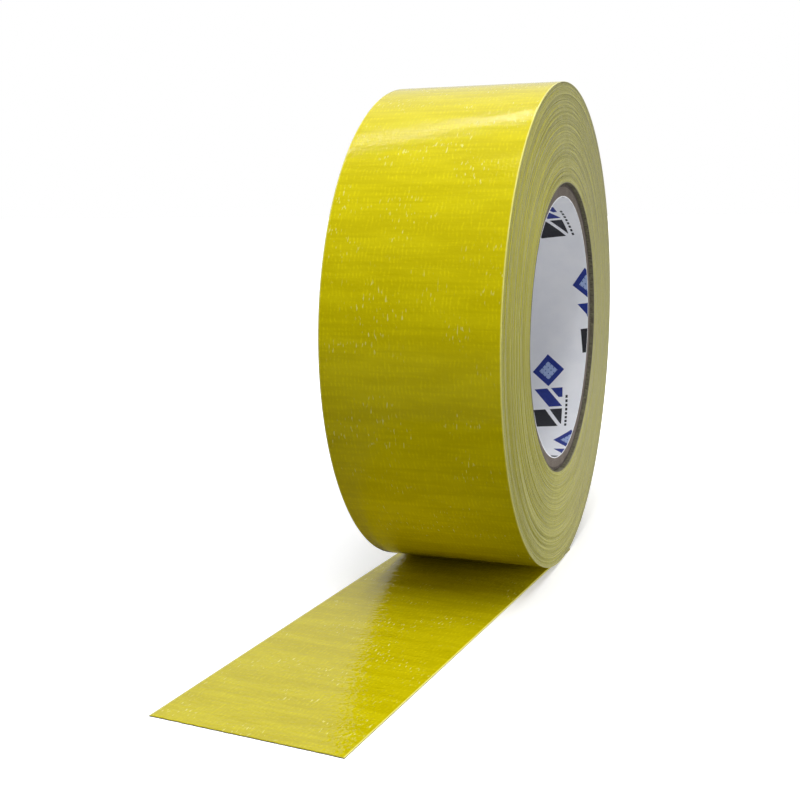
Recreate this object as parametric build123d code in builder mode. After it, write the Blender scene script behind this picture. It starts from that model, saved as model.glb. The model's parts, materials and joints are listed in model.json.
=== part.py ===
from build123d import *
import os
from math import acos, cos, degrees, radians, sin, tan

# A roll of cloth-backed adhesive tape, standing on its outer turn, with its free end laid out in front.
# Millimetres, +Z up. The origin is the centre of the core's bore, and the roll's axis is X.
# The tape comes down the front (-Y) of the roll, doubles back under it and runs forward, film side up.

# The tape: a glossy film over a cloth scrim over adhesive, all one strip
tape_width = 48.0
film_thickness = 0.08
scrim_thickness = 0.07
adhesive_thickness = 0.10
tape_thickness = film_thickness + scrim_thickness + adhesive_thickness

# The roll
bore_radius = 38.1  # a standard 3 inch core
liner_thickness = 0.25
ply_thickness = 0.89
ply_count = 4
core_recess = 1.2  # how far each end of the core stands inside the tape's side
core_length = tape_width - 2 * core_recess
core_radius = bore_radius + liner_thickness + ply_count * ply_thickness
roll_radius = 70.2

# Where the tape leaves the roll
peel_clearance = 0.05  # between the outer turn and the tape that has just left it
under_clearance = 0.08  # between the roll's lowest line and the tape laid beneath it
fold_radius = 0.15  # inside the fold, film against film
peel_angle = 4.0  # degrees behind the lowest line at which the tape lets go of the roll

# The free end
skew = 5.0  # degrees by which it was pulled aside, towards -X
tail_reach = 138.0  # from under the roll's axis to its cut end, along the strip
fold_leg_front = 2.0  # the Y at which the fold's lower leg ends
paid_out_front = -10.0  # the Y at which the stretch that lengthens ends
section_gap = 0.05  # between that stretch and the end that is pulled away

# The fold's bend is tangent to the outer turn above it and to the laid strip below it
left_radius = roll_radius + peel_clearance + tape_thickness  # the film face of the tape that has just left
laid_top = -roll_radius - under_clearance
bend_distance = left_radius + fold_radius
bend_z = laid_top + fold_radius
bend_angle = degrees(acos(-bend_z / bend_distance))
bend_y = bend_distance * sin(radians(bend_angle))

# Each layer's depth from the film's bare face to its upper and lower limits
layers = {
    "film": (0, film_thickness),
    "scrim": (film_thickness, film_thickness + scrim_thickness),
    "adhesive": (film_thickness + scrim_thickness, tape_thickness),
}


def save(piece, name):
    piece.part.label = name
    export_step(piece.part, f"parts/{name}.step")


def tube(inner_radius, outer_radius, length):
    """A ring of one thickness round the roll's axis, centred on the middle of the tape's width."""
    with BuildPart() as piece:
        with BuildSketch(Plane.YZ.offset(-length / 2)):
            Circle(outer_radius)
            Circle(inner_radius, mode=Mode.SUBTRACT)
        extrude(amount=length)
    return piece


def skewed_edges(y, half_width):
    """The X of the laid strip's two long edges where they cross a line at one Y, left edge first."""
    middle = (y - bend_y) * tan(radians(skew))
    reach = half_width / cos(radians(skew))
    return middle - reach, middle + reach


def cut_end(half_width):
    """The two corners of the strip's cut end, which is square to the strip, left corner first."""
    middle_y = -tail_reach * cos(radians(skew))
    middle_x = (middle_y - bend_y) * tan(radians(skew))
    step_x = half_width * cos(radians(skew))
    step_y = half_width * sin(radians(skew))
    return (middle_x - step_x, middle_y + step_y), (middle_x + step_x, middle_y - step_y)


def laid_outline(back_y, front_y=None):
    """The outline of a stretch of the laid strip, cut across under the roll and, with no front, square."""
    left, right = skewed_edges(back_y, tape_width / 2)
    back = [(left, back_y), (right, back_y)]
    if front_y is None:
        front_left, front_right = cut_end(tape_width / 2)
    else:
        left, right = skewed_edges(front_y, tape_width / 2)
        front_left, front_right = (left, front_y), (right, front_y)
    return [*back, front_right, front_left]


def laid_layer(outline, top, bottom):
    """One layer of a stretch of tape that lies flat, film side up."""
    with BuildPart() as piece:
        with BuildSketch(Plane.XY.offset(laid_top - bottom)):
            with BuildLine():
                Polyline(outline, close=True)
            make_face()
        extrude(amount=bottom - top)
    return piece


def fold_line(depth):
    """The line of one depth through the fold, from the roll round the bend, as its two loose ends."""
    leaving = CenterArc((0, 0), left_radius - depth, peel_angle - 90, bend_angle - peel_angle)
    bend = CenterArc((bend_y, bend_z), fold_radius + depth, 90 + bend_angle, -180 - bend_angle)
    return leaving @ 0, bend @ 1


def fold_layer(top, bottom):
    """One layer of the tape from where it leaves the roll, round the fold, to the lower leg's end."""
    with BuildPart() as piece:
        with BuildSketch(Plane.YZ.offset(-tape_width / 2)):
            with BuildLine():
                upper_start, upper_end = fold_line(top)
                lower_start, lower_end = fold_line(bottom)
                Line(upper_start, lower_start)
                Line(upper_end, lower_end)
            make_face()
        extrude(amount=tape_width)
        with BuildSketch(Plane.XY.offset(laid_top - bottom)):
            with BuildLine():
                Polyline(laid_outline(bend_y, fold_leg_front), close=True)
            make_face()
        extrude(amount=bottom - top)
    return piece


os.makedirs("parts", exist_ok=True)

# The core: a printed paper liner inside plies of kraft board
ply_start = bore_radius + liner_thickness
save(tube(bore_radius, ply_start, core_length), "core_liner")
for number in range(ply_count):
    inner = ply_start + number * ply_thickness
    save(tube(inner, inner + ply_thickness, core_length), f"core_ply_{number + 1}")

# The wound tape, then its outermost turn, whose film is outside and whose adhesive is inside
save(tube(core_radius, roll_radius - tape_thickness, tape_width), "wound_pack")
for layer, (top, bottom) in layers.items():
    save(tube(roll_radius - bottom, roll_radius - top, tape_width), f"outer_turn_{layer}")

# The tape that has left the roll: the fold, the stretch that lengthens and the loose end
for layer, (top, bottom) in layers.items():
    save(fold_layer(top, bottom), f"peel_fold_{layer}")
    save(laid_layer(laid_outline(fold_leg_front, paid_out_front), top, bottom), f"paid_out_{layer}")
    save(laid_layer(laid_outline(paid_out_front - section_gap), top, bottom), f"tail_{layer}")

turns = (roll_radius - core_radius) / tape_thickness
print(f"bore {bore_radius}, core {core_radius:.2f}, roll {roll_radius}, turns {turns:.0f}")
print(f"floor {laid_top - tape_thickness:.3f}, bend at y {bend_y:.2f}, {bend_angle:.2f} degrees")
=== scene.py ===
import json
import math

import bpy
import numpy as np
from mathutils import Matrix, Vector


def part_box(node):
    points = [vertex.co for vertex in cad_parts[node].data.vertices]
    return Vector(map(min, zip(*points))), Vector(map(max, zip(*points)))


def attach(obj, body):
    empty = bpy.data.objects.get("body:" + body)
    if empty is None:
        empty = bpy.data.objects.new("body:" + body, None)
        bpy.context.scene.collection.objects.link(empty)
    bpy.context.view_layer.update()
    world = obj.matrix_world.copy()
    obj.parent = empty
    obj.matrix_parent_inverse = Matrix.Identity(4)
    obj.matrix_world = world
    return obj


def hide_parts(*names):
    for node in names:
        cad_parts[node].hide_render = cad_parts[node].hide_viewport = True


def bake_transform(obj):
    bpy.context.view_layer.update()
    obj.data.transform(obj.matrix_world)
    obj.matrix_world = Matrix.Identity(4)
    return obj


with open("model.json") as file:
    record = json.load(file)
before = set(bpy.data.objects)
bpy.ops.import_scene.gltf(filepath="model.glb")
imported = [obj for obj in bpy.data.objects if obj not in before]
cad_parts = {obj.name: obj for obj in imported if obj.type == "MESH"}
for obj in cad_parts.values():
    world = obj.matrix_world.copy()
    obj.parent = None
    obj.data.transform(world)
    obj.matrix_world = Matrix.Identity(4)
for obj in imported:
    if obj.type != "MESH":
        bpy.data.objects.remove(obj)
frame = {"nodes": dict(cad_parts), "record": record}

# A roll of glossy yellow cloth tape with its free end laid out in front of it. Metres, +Z up.
# The roll's axis is X and the free end runs towards -Y.

MM = 0.001
FULL_TURN = 2 * math.pi

# ---------------------------------------------------------------- sizes, from the frame
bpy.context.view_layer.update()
mounts = {mount["name"]: mount for mount in frame["record"]["mounts"]}
slide = next(joint for joint in frame["record"]["behaviour"]["joints"] if joint["type"] == "slide")

half_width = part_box("outer_turn_film")[1].x
roll_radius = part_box("outer_turn_film")[1].z
scrim_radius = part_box("outer_turn_scrim")[1].z
pack_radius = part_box("wound_pack")[1].z
core_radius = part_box("core_ply_4")[1].z
core_half_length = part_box("core_liner")[1].x
bore_radius = mounts["core_bore"]["dims"]["r_mm"] * MM
tape_thickness = roll_radius - pack_radius
turn_count = round((pack_radius - core_radius) / tape_thickness)
rim_length = FULL_TURN * roll_radius
floor_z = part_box("tail_adhesive")[0].z
pull = Vector(slide["axis"])

# ---------------------------------------------------------------- the look's own numbers
# The camera's direction from the origin, its lean about its line of sight, and its distance and shifts
camera_azimuth = math.radians(20.67)
camera_elevation = math.radians(10.22)
camera_lean = math.radians(-0.91)
camera_distance = 0.3541
camera_right = -0.0263
camera_up = -0.0223
camera_lens = 52.86
camera_sensor = 36
camera_near = 0.01

# The room's white as the camera sees it, and how strongly each side of it lights the roll
backdrop_brightness = 1.0
room_in_front, room_behind = 0.03, 0.68
room_overhead = 0.15
room_beside = 0.4

# Each soft light's place, target, size and power, and whether glossy surfaces mirror it
soft_lights = {
    "overhead softbox": ((0.08, -0.2, 0.92), (0, 0, 0), (0.5, 0.5), 1.1, True),
    "near softbox": ((0.02, -0.22, 0.5), (0, -0.03, 0.02), (0.3, 0.3), 1.6, False),
    "side softbox": ((0.78, -0.42, 0.08), (0, 0, -0.02), (0.4, 0.22), 0.95, True),
    "low softbox": ((0.13, 0.0, -0.058), (0.02, 0, -0.05), (0.1, 0.02), 0.065, False),
    "glint light": ((0.11, -0.58, 0.76), (0, 0, 0), (0.04, 0.04), 0.5, True),
}
streak_start, streak_end = (-0.42, -0.04, 0.80), (-0.08, 0.48, 0.71)
streak_width = 0.012
streak_power = 0.36

# The film's relief: its height on the roll and on the free end, and the rim along which it dies out
roll_relief = 0.011 * MM
laid_relief = 0.014 * MM
ripple_share = 0.9  # the laid film's dents, for each part of its cloth relief
relief_rim = 1.2 * MM
laid_rim_drop = 0.01 * MM
laid_pattern_length = 0.14  # the length in which its cloth relief repeats
relief_waves = 30
ripple_waves = 24
wave_crest = 7.0  # about the highest that the summed waves reach

# The film's slit edges on the roll: each step's distance from the side and how far it is pressed down there,
# and the distance from the side beyond which the film is level
rim_steps = ((0.1 * MM, 0.012 * MM), (0.0, 0.05 * MM))
rim_width = 0.3 * MM

# The wound strip's sideways drift: its size in millimetres, the turns over which it changes, and its seed
wound_drifts = ((0.12, 2.3, 11), (0.08, 0.85, 12), (0.05, 9.0, 13), (0.07, 0.07, 14))
wound_fill = 0.97  # the share of each turn's pitch that the tape takes up

# The cut end's raggedness: its size, how often it changes, and how fast it dies out along the strip
cut_size = 0.12 * MM
cut_spacing = 1.1 * MM
cut_sharpness = 40
cut_seed = 21


# ---------------------------------------------------------------- meshes
def grid_faces(rows, columns, wrap_rows=False, wrap_columns=False):
    """Quads of a grid of points numbered row by row."""
    row, column = np.meshgrid(
        np.arange(rows if wrap_rows else rows - 1),
        np.arange(columns if wrap_columns else columns - 1),
        indexing="ij",
    )
    next_row, next_column = (row + 1) % rows, (column + 1) % columns
    corners = [row * columns + column, next_row * columns + column]
    corners += [next_row * columns + next_column, row * columns + next_column]
    return np.stack(corners, axis=-1).reshape(-1, 4)


def closed_slab(rows, columns):
    """Quads of a closed slab whose points are an upper grid and then a lower one."""
    upper = grid_faces(rows, columns)
    lower = upper[:, ::-1] + rows * columns
    number = np.arange(rows * columns).reshape(rows, columns)
    rim = np.concatenate([number[0, :-1], number[:-1, -1], number[-1, :0:-1], number[:0:-1, 0]])
    following = np.roll(rim, -1)
    walls = np.stack([rim, following, following + rows * columns, rim + rows * columns], axis=-1)
    return np.concatenate([upper, lower, walls])


def add_piece(name, points, faces, material, places=None, smooth=True):
    """A mesh object. places gives each face corner its place on the tape as a UV, in metres."""
    mesh = bpy.data.meshes.new(name)
    mesh.from_pydata(points.tolist(), [], [tuple(face) for face in faces])
    if places is not None:
        layer = mesh.uv_layers.new(name="place")
        layer.data.foreach_set("uv", places.astype(np.float32).ravel())
    mesh.polygons.foreach_set("use_smooth", [smooth] * len(mesh.polygons))
    mesh.materials.append(material)
    mesh.validate()
    mesh.update()
    piece = bpy.data.objects.new(name, mesh)
    bpy.context.scene.collection.objects.link(piece)
    return piece


def paint(name, material):
    """Gives a CAD node its material."""
    mesh = frame["nodes"][name].data
    mesh.materials.clear()
    mesh.materials.append(material)


def about_axis(x, radius, angle):
    """Points at these distances from the roll's axis. The angle runs from +Y towards +Z."""
    return np.stack([x, radius * np.cos(angle), radius * np.sin(angle)], axis=-1)


def wandering(positions, spacing, seed):
    """A smooth random value from -1 to 1 that changes about once every spacing along positions."""
    knots = np.random.default_rng(seed).uniform(-1, 1, int(positions.max() / spacing) + 3)
    place = positions / spacing
    start = np.floor(place).astype(int)
    share = place - start
    share = share * share * (3 - 2 * share)
    return knots[start] * (1 - share) + knots[start + 1] * share


def cloth_relief(across, along, length, seed):
    """How far the cloth's crosswise threads push the film out, as a share from about -1 to 1."""
    chance = np.random.default_rng(seed)
    height = np.zeros_like(along)
    for _ in range(relief_waves):
        wavelength = chance.uniform(1.3, 7.0) * MM
        cycles = max(1, round(length / wavelength))
        slant = chance.normal(0, 0.35)
        phase, fade = chance.uniform(0, FULL_TURN, 2)
        strength = 0.5 + 0.5 * np.sin(across / half_width * chance.uniform(0.5, 2.5) + fade)
        angle = FULL_TURN * cycles * along / length + slant * across / half_width + phase
        height += strength * np.sin(angle)
    return height / wave_crest


def film_ripple(across, along, seed):
    """Small dents of the laid film, a few millimetres wide and shorter lengthwise, on the relief's scale."""
    chance = np.random.default_rng(seed)
    height = np.zeros_like(along)
    for _ in range(ripple_waves):
        across_wavelength = chance.choice([-1, 1]) * chance.uniform(3.0, 9.0) * MM
        along_wavelength = chance.uniform(1.6, 4.5) * MM
        phase = chance.uniform(0, FULL_TURN)
        height += np.sin(FULL_TURN * (across / across_wavelength + along / along_wavelength) + phase)
    return height / wave_crest


def inside_rim(x):
    """1 where the film's relief is whole, falling to 0 at the tape's two sides."""
    return np.clip((half_width - np.abs(x)) / relief_rim, 0, 1)


# ---------------------------------------------------------------- shader building
class Nodes:
    """Adds nodes to one material's or group's tree. A value is a number, a colour or a node's socket."""

    def __init__(self, tree):
        self.tree = tree

    def add(self, kind, inputs=None, **settings):
        node = self.tree.nodes.new(kind)
        for key, value in settings.items():
            setattr(node, key, value)
        for key, value in (inputs or {}).items():
            if isinstance(value, bpy.types.NodeSocket):
                self.tree.links.new(value, node.inputs[key])
            else:
                node.inputs[key].default_value = value
        return node

    def feed(self, node, **sockets):
        """Links sockets to a node's inputs. An underscore stands for a space in an input's name."""
        for key, value in sockets.items():
            self.tree.links.new(value, node.inputs[key.replace("_", " ")])

    def math(self, operation, *values):
        return self.add("ShaderNodeMath", dict(enumerate(values)), operation=operation).outputs[0]

    def mix(self, share, first, second):
        return self.add("ShaderNodeMix", {0: share, 6: first, 7: second}, data_type="RGBA").outputs[2]

    def fade(self, value, low, high, to_low=0.0, to_high=1.0):
        inputs = {0: value, 1: low, 2: high, 3: to_low, 4: to_high}
        return self.add("ShaderNodeMapRange", inputs, interpolation_type="SMOOTHSTEP").outputs[0]

    def noise(self, place, scale=1.0, detail=2.0, roughness=0.5, dimensions="3D"):
        inputs = {"Scale": scale, "Detail": detail, "Roughness": roughness}
        inputs["W" if dimensions == "1D" else "Vector"] = place
        return self.add("ShaderNodeTexNoise", inputs, noise_dimensions=dimensions).outputs["Fac"]

    def stretch(self, place, x, y, z=1.0):
        return self.add("ShaderNodeVectorMath", {0: place, 1: (x, y, z)}, operation="MULTIPLY").outputs[0]

    def split(self, vector):
        return self.add("ShaderNodeSeparateXYZ", {0: vector}).outputs

    def solid_place(self):
        return self.add("ShaderNodeTexCoord").outputs["Object"]

    def tape_place(self):
        return self.add("ShaderNodeUVMap", uv_map="place").outputs[0]

    def camera_sees(self):
        return self.add("ShaderNodeLightPath").outputs["Is Camera Ray"]

    def group(self, tree, inputs):
        return self.add("ShaderNodeGroup", inputs, node_tree=tree).outputs

    def bump(self, height, distance):
        return self.add("ShaderNodeBump", {"Height": height, "Distance": distance}).outputs["Normal"]


def new_group(name, inputs, outputs):
    """A shader node group. Each input has its name, socket type and usual value; each output is a number."""
    tree = bpy.data.node_groups.new(name, "ShaderNodeTree")
    for label, kind, value in inputs:
        socket = tree.interface.new_socket(label, in_out="INPUT", socket_type=kind)
        if value is not None:
            socket.default_value = value
    for label in outputs:
        tree.interface.new_socket(label, in_out="OUTPUT", socket_type="NodeSocketFloat")
    nodes = Nodes(tree)
    return nodes, nodes.add("NodeGroupInput").outputs, nodes.add("NodeGroupOutput")


def new_material(name, **constants):
    """A material whose Principled BSDF has these values set on its own sockets."""
    material = bpy.data.materials.new(name)
    material.use_nodes = True
    material.node_tree.nodes.clear()
    nodes = Nodes(material.node_tree)
    shader = nodes.add("ShaderNodeBsdfPrincipled", constants)
    nodes.add("ShaderNodeOutputMaterial", {"Surface": shader.outputs[0]})
    return material, nodes, shader


# ---------------------------------------------------------------- shared effects
# How often each part of the cloth's look changes, per metre across the tape and along it
broad_bands, fine_rows = (40, 210), (50, 800)
thread_wander, thread_breaks = (130, 300), (700, 450)
# Where the few raised thread spots with painted glints lie, and the clusters they gather in
glint_threads, glint_clusters = (1800, 450), (60, 90)
film_pimples, film_dimples = (1500, 1000), (700, 1200)


def cloth_under_film_group():
    """The cloth as it shows through the film: soft crosswise bands, and rows of short lengthwise thread marks
    of which a few are raised spots that carry painted glints."""
    nodes, given, out = new_group(
        "cloth under film",
        [
            ("Place", "NodeSocketVector", None),
            ("Threads per metre", "NodeSocketFloat", 950.0),
            ("Dimples", "NodeSocketFloat", 1.5),
        ],
        ("Bands", "Marks", "Polished", "Height"),
    )
    place = given["Place"]
    across = nodes.split(place)[0]
    broad = nodes.noise(nodes.stretch(place, *broad_bands), roughness=0.55)
    rows = nodes.noise(nodes.stretch(place, *fine_rows), roughness=0.6)
    bands = nodes.math("MULTIPLY_ADD", broad, 0.7, nodes.math("MULTIPLY", rows, 0.3))
    wander = nodes.math("MULTIPLY", nodes.noise(nodes.stretch(place, *thread_wander)), 1.5)
    thread = nodes.math("MULTIPLY_ADD", across, given["Threads per metre"], wander)
    wave = nodes.math("SINE", nodes.math("MULTIPLY", thread, FULL_TURN))
    ridge = nodes.math("POWER", nodes.math("MULTIPLY_ADD", wave, 0.5, 0.5), 2.0)
    breaks = nodes.noise(nodes.stretch(place, *thread_breaks), detail=1)
    marks = nodes.math("MULTIPLY", ridge, nodes.fade(breaks, 0.42, 0.58))
    marks = nodes.math("MULTIPLY", marks, nodes.fade(rows, 0.38, 0.6, 0.15, 1.0))
    # Painted glints: a few raised thread spots, in clusters, where the film's colour is painted pale
    rare = nodes.noise(nodes.stretch(place, *glint_threads), detail=1)
    clusters = nodes.noise(nodes.stretch(place, *glint_clusters), detail=1)
    glint_spots = nodes.math("MULTIPLY", nodes.fade(clusters, 0.48, 0.62), nodes.fade(rare, 0.63, 0.72))
    pimples = nodes.noise(nodes.stretch(place, *film_pimples), detail=1)
    dimples = nodes.noise(nodes.stretch(place, *film_dimples), detail=1)
    height = nodes.math("MULTIPLY_ADD", marks, 0.8, nodes.math("MULTIPLY", pimples, 1.5))
    height = nodes.math("MULTIPLY_ADD", dimples, given["Dimples"], height)
    height = nodes.math("MULTIPLY_ADD", broad, 1.6, nodes.math("MULTIPLY_ADD", rows, 0.5, height))
    height = nodes.math("MULTIPLY_ADD", glint_spots, 0.9, height)
    nodes.feed(out, Bands=nodes.fade(bands, 0.4, 0.6), Marks=marks, Polished=glint_spots, Height=height)
    return nodes.tree


def paper_fibre_group():
    """Fibres and mottling of paper and board."""
    nodes, given, out = new_group(
        "paper fibre",
        [("Place", "NodeSocketVector", None), ("Size", "NodeSocketFloat", 1.0)],
        ("Mottle", "Fibre"),
    )
    place, size = given["Place"], given["Size"]
    coarse = nodes.noise(nodes.stretch(place, 260, 260, 260), scale=size, detail=4, roughness=0.6)
    fine = nodes.noise(nodes.stretch(place, 700, 1900, 1900), scale=size, detail=4, roughness=0.7)
    nodes.feed(out, Mottle=nodes.fade(coarse, 0.3, 0.7), Fibre=nodes.fade(fine, 0.25, 0.75))
    return nodes.tree


def wound_edge_group():
    """The slit edges of the wound turns. Turn is how far through one turn's thickness a point is, from the
    adhesive at 0 to the film at 1; Wind is how many turns lie inside it."""
    nodes, given, out = new_group(
        "wound edge",
        [
            ("Turn", "NodeSocketFloat", 0.5),
            ("Wind", "NodeSocketFloat", 0.0),
            ("Solid place", "NodeSocketVector", None),
        ],
        ("Tone", "Gap", "Film", "Adhesive", "Height"),
    )
    turn, wind = given["Turn"], given["Wind"]
    slow = nodes.noise(wind, scale=0.42, detail=3, roughness=0.7, dimensions="1D")
    quick = nodes.noise(wind, scale=1.7, roughness=0.6, dimensions="1D")
    rub = nodes.noise(nodes.stretch(given["Solid place"], 500, 500, 500), detail=3, roughness=0.65)
    tone = nodes.math("MULTIPLY_ADD", slow, 0.7, nodes.math("MULTIPLY", quick, 0.3))
    # The groove just outside each turn's adhesive is sunk in the bump; on some turns it is also painted
    # near-black as painted shade
    gap = nodes.math("MULTIPLY", nodes.fade(turn, 0.02, 0.07), nodes.fade(turn, 0.16, 0.36, 1.0, 0.0))
    film = nodes.math("ADD", nodes.fade(turn, 0.6, 0.75, 0.0, 0.65), nodes.fade(turn, 0.96, 1.0, 0.0, 0.35))
    nodes.feed(
        out,
        Tone=nodes.fade(tone, 0.38, 0.62),
        Gap=nodes.math("MULTIPLY", gap, nodes.fade(quick, 0.46, 0.58)),
        Film=film,
        Adhesive=nodes.fade(turn, 0.0, 0.03, 1.0, 0.0),
        Height=nodes.math("SUBTRACT", nodes.math("MULTIPLY", rub, 0.6), gap),
    )
    return nodes.tree


effects = {"cloth": cloth_under_film_group(), "paper": paper_fibre_group(), "wound": wound_edge_group()}

# ---------------------------------------------------------------- materials
film_light, film_dark = (0.87, 0.765, 0.005, 1), (0.69, 0.59, 0.001, 1)
# A painted glint for a few raised threads, and a painted highlight along the film's slit edges
painted_glint, film_edge_highlight = (0.99, 0.95, 0.30, 1), (0.98, 0.95, 0.30, 1)
scrim_dark, scrim_light = (0.30, 0.28, 0.16, 1), (0.55, 0.52, 0.34, 1)
adhesive_dark, adhesive_light = (0.34, 0.32, 0.17, 1), (0.50, 0.47, 0.26, 1)
wound_dark, wound_light, wound_film = (0.21, 0.20, 0.07, 1), (0.455, 0.44, 0.18, 1), (0.66, 0.62, 0.02, 1)
# The first of these is painted shade, for the grooves between turns
wound_groove_shade, wound_adhesive, wound_fibre = (0.06, 0.05, 0.025, 1), (0.50, 0.48, 0.38, 1), (0.56, 0.54, 0.30, 1)
# Painted shade: the innermost turn, where the wound tape meets the core, is painted near-black
innermost_turn_shade = (0.06, 0.05, 0.042, 1)
board_dark, board_light = (0.10, 0.082, 0.068, 1), (0.20, 0.17, 0.145, 1)
# A darker copy of the board for the outermost ply: painted shade, the dark ring where the core meets the
# wound tape
shaded_board_dark, shaded_board_light = (0.035, 0.028, 0.023, 1), (0.11, 0.092, 0.078, 1)
liner_dark, liner_light = (0.86, 0.875, 0.92, 1), (0.92, 0.93, 0.96, 1)
floor_dark, floor_light = (0.95, 0.95, 0.95, 1), (0.97, 0.97, 0.97, 1)
floor_lit_left, floor_lit_right = (0.10, 0.10, 0.10, 1), (0.75, 0.75, 0.75, 1)
black, white = (0, 0, 0, 1), (1, 1, 1, 1)


def darkened(colour, depth):
    """A yellow with its red and green scaled by depth; below 1 this darkens it, as painted shade."""
    red, green, blue, alpha = colour
    return red * depth, green * depth, blue, alpha


def paper_fibre(nodes, size):
    return nodes.group(effects["paper"], {"Place": nodes.solid_place(), "Size": size})


def film_material(name, depth, dimples):
    """Glossy yellow film with the cloth showing through it, painted glints on a few threads and a painted
    highlight along each slit edge. A lower depth darkens the yellow as painted shade, and more dimples break
    up what it mirrors."""
    material, nodes, shader = new_material(name, **{"Specular IOR Level": 0.32, "IOR": 1.5})
    place = nodes.tape_place()
    cloth = nodes.group(effects["cloth"], {"Place": place, "Dimples": dimples})
    shade = nodes.math("MULTIPLY_ADD", cloth["Bands"], 0.42, nodes.math("MULTIPLY", cloth["Marks"], 0.58))
    colour = nodes.mix(shade, darkened(film_dark, depth), darkened(film_light, depth))
    # Painted glints: the film's colour is painted pale yellow on a few raised thread spots
    colour = nodes.mix(nodes.math("MULTIPLY", cloth["Polished"], 0.65), colour, painted_glint)
    # Painted highlight: a pale line along each slit edge, where the film's rounded edge catches the light
    from_middle = nodes.math("ABSOLUTE", nodes.split(place)[0])
    rim = nodes.fade(from_middle, half_width - 0.45 * MM, half_width - 0.1 * MM)
    colour = nodes.mix(nodes.math("MULTIPLY", rim, 0.75), colour, film_edge_highlight)
    rough = nodes.math("MULTIPLY_ADD", cloth["Bands"], 0.03, 0.06)
    nodes.feed(shader, Base_Color=colour, Roughness=rough, Normal=nodes.bump(cloth["Height"], 0.02 * MM))
    return material


def scrim_material():
    """Pale cotton threads, seen at the tape's edges."""
    material, nodes, shader = new_material("cotton scrim", Roughness=0.9)
    fibre = paper_fibre(nodes, 1.6)
    colour = nodes.mix(fibre["Fibre"], scrim_dark, scrim_light)
    nodes.feed(shader, Base_Color=colour, Normal=nodes.bump(fibre["Mottle"], 0.03 * MM))
    return material


def adhesive_material():
    """Tacky grey-yellow adhesive, slightly strung and dusty."""
    material, nodes, shader = new_material("adhesive", **{"Specular IOR Level": 0.4})
    fibre = paper_fibre(nodes, 0.6)
    colour = nodes.mix(fibre["Mottle"], adhesive_dark, adhesive_light)
    rough = nodes.math("MULTIPLY_ADD", fibre["Fibre"], 0.25, 0.35)
    nodes.feed(shader, Base_Color=colour, Roughness=rough, Normal=nodes.bump(fibre["Fibre"], 0.05 * MM))
    return material


def wound_material():
    """The sides of the wound tape: over a hundred slit edges, each of adhesive, cloth and film, with painted
    shade in the grooves between some turns and on the innermost turn.
    """
    material, nodes, shader = new_material("wound tape edges", **{"Specular IOR Level": 0.35})
    turn, wind, _ = nodes.split(nodes.tape_place())
    edge = nodes.group(effects["wound"], {"Turn": turn, "Wind": wind, "Solid place": nodes.solid_place()})
    fibre = paper_fibre(nodes, 1.3)
    cloth = nodes.mix(edge["Tone"], wound_dark, wound_light)
    colour = nodes.mix(edge["Film"], cloth, wound_film)
    # Painted shade: near-black in the grooves between some turns
    colour = nodes.mix(nodes.math("MULTIPLY", edge["Gap"], 0.85), colour, wound_groove_shade)
    colour = nodes.mix(edge["Adhesive"], colour, wound_adhesive)
    # Painted shade: the innermost turn is painted near-black where the wound tape meets the core
    colour = nodes.mix(nodes.fade(wind, 0.9, 1.2, 1.0, 0.0), colour, innermost_turn_shade)
    colour = nodes.mix(nodes.math("MULTIPLY", fibre["Fibre"], 0.35), colour, wound_fibre)
    rough = nodes.math("MULTIPLY_ADD", fibre["Mottle"], 0.25, 0.45)
    nodes.feed(shader, Base_Color=colour, Roughness=rough, Normal=nodes.bump(edge["Height"], 0.05 * MM))
    return material


def kraft_material(name, dark, light):
    """Grey-brown recycled board with loose fibres."""
    material, nodes, shader = new_material(name, Roughness=0.95)
    fibre = paper_fibre(nodes, 1.0)
    share = nodes.math("MULTIPLY_ADD", fibre["Fibre"], 0.6, nodes.math("MULTIPLY", fibre["Mottle"], 0.4))
    nodes.feed(shader, Base_Color=nodes.mix(share, dark, light), Normal=nodes.bump(share, 0.12 * MM))
    return material


def liner_material():
    """Smooth white paper."""
    material, nodes, shader = new_material("white liner", **{"Specular IOR Level": 0.45})
    fibre = paper_fibre(nodes, 0.4)
    colour = nodes.mix(fibre["Mottle"], liner_dark, liner_light)
    rough = nodes.math("MULTIPLY_ADD", fibre["Fibre"], 0.2, 0.4)
    nodes.feed(shader, Base_Color=colour, Roughness=rough, Normal=nodes.bump(fibre["Fibre"], 0.01 * MM))
    return material


def ink_material(name, dark, light):
    """Printing ink, slightly starved where the paper's fibres stand up."""
    material, nodes, shader = new_material(name, Roughness=0.45)
    nodes.feed(shader, Base_Color=nodes.mix(paper_fibre(nodes, 1.2)["Fibre"], dark, light))
    return material


def floor_material():
    """Pale paper. Left of the roll it looks brighter than it lights, so that it doesn't fill in the roll's
    shaded front, and it glows away from the roll, so that it meets the white room without a line."""
    material, nodes, shader = new_material("pale floor", **{"Roughness": 0.9, "Emission Strength": 1.0})
    solid, seen = nodes.solid_place(), nodes.camera_sees()
    paper = nodes.mix(nodes.noise(solid, scale=6), floor_dark, floor_light)
    lit = nodes.mix(nodes.fade(nodes.split(solid)[0], 0.03, 0.2), floor_lit_left, floor_lit_right)
    away = nodes.add("ShaderNodeVectorMath", {0: solid}, operation="LENGTH").outputs["Value"]
    # Painted light: the camera sees the floor glow, at 0.3 beside the roll, which lightens the roll's shadow
    # there, and fully further out
    glow = nodes.math("MULTIPLY", seen, nodes.fade(away, 0.07, 0.32, 0.3, 1.0))
    nodes.feed(shader, Base_Color=nodes.mix(seen, lit, paper), Emission_Color=nodes.mix(glow, black, white))
    return material


# ---------------------------------------------------------------- the roll
def film_profile(count=56):
    """The film's outer surface from side to side, as X and radius, with its slit edges pressed down."""
    edge = half_width - rim_width
    flat = [(x, roll_radius) for x in np.linspace(-edge, edge, count)]
    turned = [(half_width - inset, roll_radius - drop) for inset, drop in rim_steps]
    return [(-x, radius) for x, radius in reversed(turned)] + flat + turned


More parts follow.
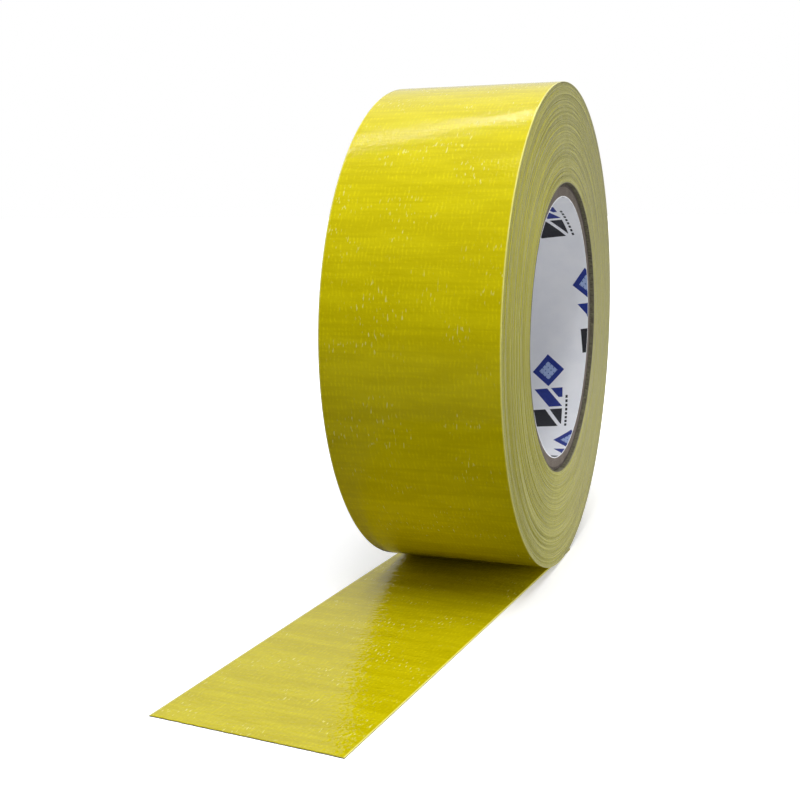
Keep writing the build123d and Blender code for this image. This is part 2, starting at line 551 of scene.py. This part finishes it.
def outer_film_piece(material, around=1080):
    """The outermost turn's film, a ring about the roll's axis that starts at its lowest line."""
    across, outer = np.array(film_profile()).T
    turned = np.linspace(0, FULL_TURN, around, endpoint=False)
    angle = turned - math.pi / 2
    x = np.broadcast_to(across, (around, len(across)))
    along = np.broadcast_to((turned * roll_radius)[:, None], x.shape)
    relief = cloth_relief(x, along, rim_length, seed=3)
    radius = outer[None, :] + roll_relief * relief * inside_rim(x)
    radius = np.concatenate([radius, np.full((around, 2), scrim_radius)], axis=1)
    x = np.concatenate([x, np.tile([across[-1], across[0]], (around, 1))], axis=1)
    columns = x.shape[1]
    points = about_axis(x, radius, angle[:, None]).reshape(-1, 3)
    faces = grid_faces(around, columns, wrap_rows=True, wrap_columns=True)
    row, column = faces // columns, faces % columns
    closing = (row == 0) & (row.max(axis=1, keepdims=True) == around - 1)
    places = np.stack([x[row, column], (row + closing * around) * (rim_length / around)], axis=-1)
    return add_piece("outer_turn_of_film", points, faces, material, places)


def wound_piece(material, steps=180):
    """The wound tape as the one strip that it is, coiled turn on turn from the core outwards."""
    count = turn_count * steps
    wind = np.arange(count + 1) / steps
    pitch = (pack_radius - core_radius) / (turn_count + 1)
    angle = FULL_TURN * wind - math.pi / 2
    inner = core_radius + pitch * wind
    outer = inner + wound_fill * pitch
    drift = sum(size * wandering(wind, spacing, seed) for size, spacing, seed in wound_drifts) * MM
    corners = [
        about_axis(side * half_width + drift, radius, angle)
        for side, radius in ((-1, inner), (1, inner), (1, outer), (-1, outer))
    ]
    points = np.stack(corners, axis=1).reshape(-1, 3)
    faces = grid_faces(count + 1, 4, wrap_columns=True)
    row, column = faces // 4, faces % 4
    ends = np.array([[3, 2, 1, 0], [count * 4, count * 4 + 1, count * 4 + 2, count * 4 + 3]])
    places = np.stack([(column >= 2).astype(float), row / steps], axis=-1)
    places = np.concatenate([places, np.zeros((2, 4, 2))])
    return add_piece("wound_tape", points, np.concatenate([faces, ends]), material, places, smooth=False)


# ---------------------------------------------------------------- the free end
def strip_frame():
    """Where the laid strip starts under the roll: its middle and its directions across and along."""
    along = pull.normalized()
    across = Vector((-along.y, along.x, 0))
    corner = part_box("paid_out_film")[1]
    start = Vector((corner.x - half_width / across.x, corner.y, 0))
    return start, across, along


def strip_piece(layer, material, columns, rows, relief):
    """One layer of the laid strip, from the fold under the roll to its cut end, and its length."""
    start, across, along = strip_frame()
    low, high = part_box(f"tail_{layer}")
    reach = (start.y - low.y - half_width * abs(across.y)) / abs(along.y)
    side = np.linspace(-half_width, half_width, columns)
    share = np.linspace(0, 1, rows)
    skip = side * across.y / along.y
    distance = share[:, None] * (reach + skip)[None, :] - skip[None, :]
    ragged = cut_size * wandering(side + half_width, cut_spacing, cut_seed)
    distance += share[:, None] ** cut_sharpness * ragged[None, :]
    flat = np.array(start)[None, None, :2] + side[None, :, None] * np.array(across)[:2]
    flat = flat + distance[..., None] * np.array(along)[:2]
    grid_side = np.broadcast_to(side, (rows, columns))
    top = np.full((rows, columns), high.z)
    if relief:
        inside = inside_rim(grid_side)
        dents = cloth_relief(grid_side, distance, laid_pattern_length, seed=5)
        dents = dents + ripple_share * film_ripple(grid_side, distance, seed=6)
        top = top + relief * dents * inside - laid_rim_drop * (1 - inside)
    upper = np.concatenate([flat, top[..., None]], axis=-1).reshape(-1, 3)
    lower = np.concatenate([flat, np.full((rows, columns, 1), low.z)], axis=-1).reshape(-1, 3)
    faces = closed_slab(rows, columns)
    coordinates = np.stack([grid_side, distance], axis=-1).reshape(-1, 2)
    places = np.concatenate([coordinates, coordinates])[faces]
    piece = add_piece(f"free_end_{layer}", np.concatenate([upper, lower]), faces, material, places)
    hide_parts(f"paid_out_{layer}", f"tail_{layer}")
    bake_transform(piece)
    return piece, reach


# ---------------------------------------------------------------- the liner's print
print_slant = math.radians(8)
print_margin = 0.05 * MM  # left bare at each end of the liner
narrowest_print = 0.5 * MM
print_sink = 0.002 * MM  # how far into the paper it reaches, so that no gap shows
patch_cells = 7

# Each column's X in millimetres and the angles of its repeats, in degrees from +Y towards +Z
print_columns = (
    (-24.2, (17, 107, 193, 277)),
    (-12.1, (62, 150, 235, 319)),
    (0.0, (107, 193, 277)),
    (12.1, (-41, 62.6, 150, 235)),
    (24.2, (3, 107, 190, 276)),
)

# A row of small marks beside each repeat
tick_starts = np.arange(-1.0, -13.0, -1.7)
print_ticks = tuple(((a, 5.6), (a, 6.3), (a - 1.1, 6.3), (a - 1.1, 5.6)) for a in tick_starts)

# Corners in millimetres: along the bore, then across it
print_shapes = {
    "blue": (
        ((14.0, 0.0), (8.4, 5.2), (2.8, 0.0), (8.4, -5.2)),
        ((2.0, -4.6), (2.0, -0.4), (-5.2, 4.6), (-5.2, 0.4)),
        ((2.0, 0.8), (2.0, 4.6), (-1.6, 4.6), (-1.6, 3.4)),
    ),
    "pale_blue": (
        ((11.6, 0.0), (8.4, 3.0), (5.2, 0.0), (8.4, -3.0)),
    ),
    "black": (
        ((-6.2, -4.6), (-6.2, -0.8), (-14.0, 3.6), (-14.0, -4.6)),
        ((-6.2, 0.6), (-6.2, 4.6), (-13.0, 4.6), (-13.0, 4.4)),
        *print_ticks,
    ),
}

# Each ink's darkest and lightest colour and its height above the paper
inks = {
    "blue": ((0.006, 0.018, 0.19, 1), (0.012, 0.035, 0.30, 1), 0.012 * MM),
    "pale_blue": ((0.30, 0.40, 0.66, 1), (0.38, 0.48, 0.74, 1), 0.020 * MM),
    "black": ((0.008, 0.008, 0.012, 1), (0.022, 0.022, 0.028, 1), 0.012 * MM),
}


def print_patch(corners, column_x, middle, depth):
    """One printed patch on the bore: a thin slab that follows its curve, or None where it runs off it."""
    share = np.linspace(0, 1, patch_cells)
    first, second, third, fourth = (np.array(corner) for corner in corners)
    u, v = np.meshgrid(share, share, indexing="ij")
    u, v = u[..., None], v[..., None]
    flat = (1 - u) * ((1 - v) * first + v * second) + u * ((1 - v) * fourth + v * third)
    along = flat[..., 0] * math.cos(print_slant) + flat[..., 1] * math.sin(print_slant)
    across = flat[..., 1] * math.cos(print_slant) - flat[..., 0] * math.sin(print_slant)
    limit = core_half_length - print_margin
    x = np.clip(column_x * MM + across * MM, -limit, limit)
    if np.ptp(x) < narrowest_print:
        return None
    angle = middle + along * MM / bore_radius
    radii = (bore_radius - depth, bore_radius - print_sink)
    return np.concatenate([about_axis(x, radius, angle).reshape(-1, 3) for radius in radii])


def printed_piece(ink):
    """All the liner's patches of one ink."""
    dark, light, depth = inks[ink]
    faces = closed_slab(patch_cells, patch_cells)
    points, quads = [], []
    for column_x, middles in print_columns:
        for middle in middles:
            for corners in print_shapes[ink]:
                patch = print_patch(corners, column_x, math.radians(middle), depth)
                if patch is not None:
                    quads.append(faces + len(points) * 2 * patch_cells * patch_cells)
                    points.append(patch)
    material = ink_material(f"{ink} ink", dark, light)
    piece = add_piece(
        f"liner_print_{ink}", np.concatenate(points), np.concatenate(quads), material, smooth=False
    )
    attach(piece, "roll")


# ---------------------------------------------------------------- camera, lights and floor
def add_camera():
    back = Vector((
        math.sin(camera_azimuth) * math.cos(camera_elevation),
        -math.cos(camera_azimuth) * math.cos(camera_elevation),
        math.sin(camera_elevation),
    ))
    right = Vector((0, 0, 1)).cross(back).normalized()
    up = back.cross(right)
    lean = Matrix.Rotation(camera_lean, 3, back)
    right, up = lean @ right, lean @ up
    data = bpy.data.cameras.new("camera")
    data.lens = camera_lens
    data.sensor_width = camera_sensor
    data.clip_start = camera_near
    camera = bpy.data.objects.new("camera", data)
    bpy.context.scene.collection.objects.link(camera)
    turn = Matrix((right, up, back)).transposed().to_4x4()
    place = back * camera_distance + right * camera_right + up * camera_up
    camera.matrix_world = Matrix.Translation(place) @ turn
    bpy.context.scene.camera = camera


def add_light(name, place, turn, size, power, mirrored=True):
    """A rectangular area light that the camera itself doesn't see, nor glossy surfaces unless mirrored."""
    data = bpy.data.lights.new(name, "AREA")
    data.shape = "RECTANGLE"
    data.size, data.size_y = size
    data.energy = power
    light = bpy.data.objects.new(name, data)
    light.visible_camera = False
    light.visible_glossy = mirrored
    bpy.context.scene.collection.objects.link(light)
    light.matrix_world = Matrix.Translation(place) @ turn.to_4x4()


def add_soft_light(name, place, target, size, power, mirrored):
    direction = Vector(target) - Vector(place)
    turn = direction.to_track_quat("-Z", "Y").to_matrix()
    add_light(name, Vector(place), turn, size, power, mirrored)


def add_tube_light(name, start, end, width, power):
    """A long narrow light from start to end, turned to face the roll."""
    start, end = Vector(start), Vector(end)
    middle = (start + end) / 2
    along = (end - start).normalized()
    back = (middle - along * middle.dot(along)).normalized()
    turn = Matrix((along, back.cross(along), back)).transposed()
    add_light(name, middle, turn, ((end - start).length, width), power)


def light_room():
    """A white room, darker in front, that lights the roll less than the camera sees it."""
    world = bpy.data.worlds.new("studio")
    bpy.context.scene.world = world
    world.use_nodes = True
    world.node_tree.nodes.clear()
    nodes = Nodes(world.node_tree)
    x, y, z = nodes.split(nodes.add("ShaderNodeTexCoord").outputs["Generated"])
    behind = nodes.fade(y, -0.5, 0.6, room_in_front, room_behind)
    overhead = nodes.fade(z, 0.2, 1.0, 0.0, room_overhead)
    beside = nodes.fade(x, 0.2, 1.0, 0.0, room_beside)
    room = nodes.math("ADD", nodes.math("ADD", behind, overhead), beside)
    more_seen = nodes.math("SUBTRACT", backdrop_brightness, room)
    strength = nodes.math("MULTIPLY_ADD", nodes.camera_sees(), more_seen, room)
    background = nodes.add("ShaderNodeBackground", {"Color": white, "Strength": strength})
    nodes.add("ShaderNodeOutputWorld", {"Surface": background.outputs[0]})


# ---------------------------------------------------------------- making
film = film_material("yellow film", 1.0, 1.8)
# The laid strip is the same film, darkened to a depth of 0.81: painted shade
laid_film_shaded = film_material("yellow film, laid, painted shade", 0.81, 7.0)
scrim = scrim_material()
adhesive = adhesive_material()

outer_film = outer_film_piece(film)
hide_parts("outer_turn_film")
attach(outer_film, "roll")

wound = wound_piece(wound_material())
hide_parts("wound_pack")
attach(wound, "roll")

laid = {}
for layer, material, columns, rows, relief in (
    ("film", laid_film_shaded, 90, 380, laid_relief),
    ("scrim", scrim, 8, 60, 0),
    ("adhesive", adhesive, 8, 60, 0),
):
    laid[layer], free_length = strip_piece(layer, material, columns, rows, relief)
    paint(f"peel_fold_{layer}", material)
    if layer != "film":
        paint(f"outer_turn_{layer}", material)

kraft = kraft_material("kraft board", board_dark, board_light)
# The outermost ply gets the darker copy of the board: painted shade
kraft_shaded = kraft_material("kraft board, painted shade", shaded_board_dark, shaded_board_light)
for number, material in enumerate((kraft, kraft, kraft, kraft_shaded)):
    paint(f"core_ply_{number + 1}", material)
paint("core_liner", liner_material())
for ink in inks:
    printed_piece(ink)

floor_sides = (-4.0, 4.0)
floor_corners = np.array([(x, y, floor_z) for y in floor_sides for x in floor_sides])
floor = add_piece("floor", floor_corners, grid_faces(2, 2)[:, ::-1], floor_material())

# The usual transform can't show so saturated a yellow
bpy.context.scene.view_settings.view_transform = "Standard"
add_camera()
light_room()
for name, settings in soft_lights.items():
    add_soft_light(name, *settings)
add_tube_light("streak tube", streak_start, streak_end, streak_width, streak_power)
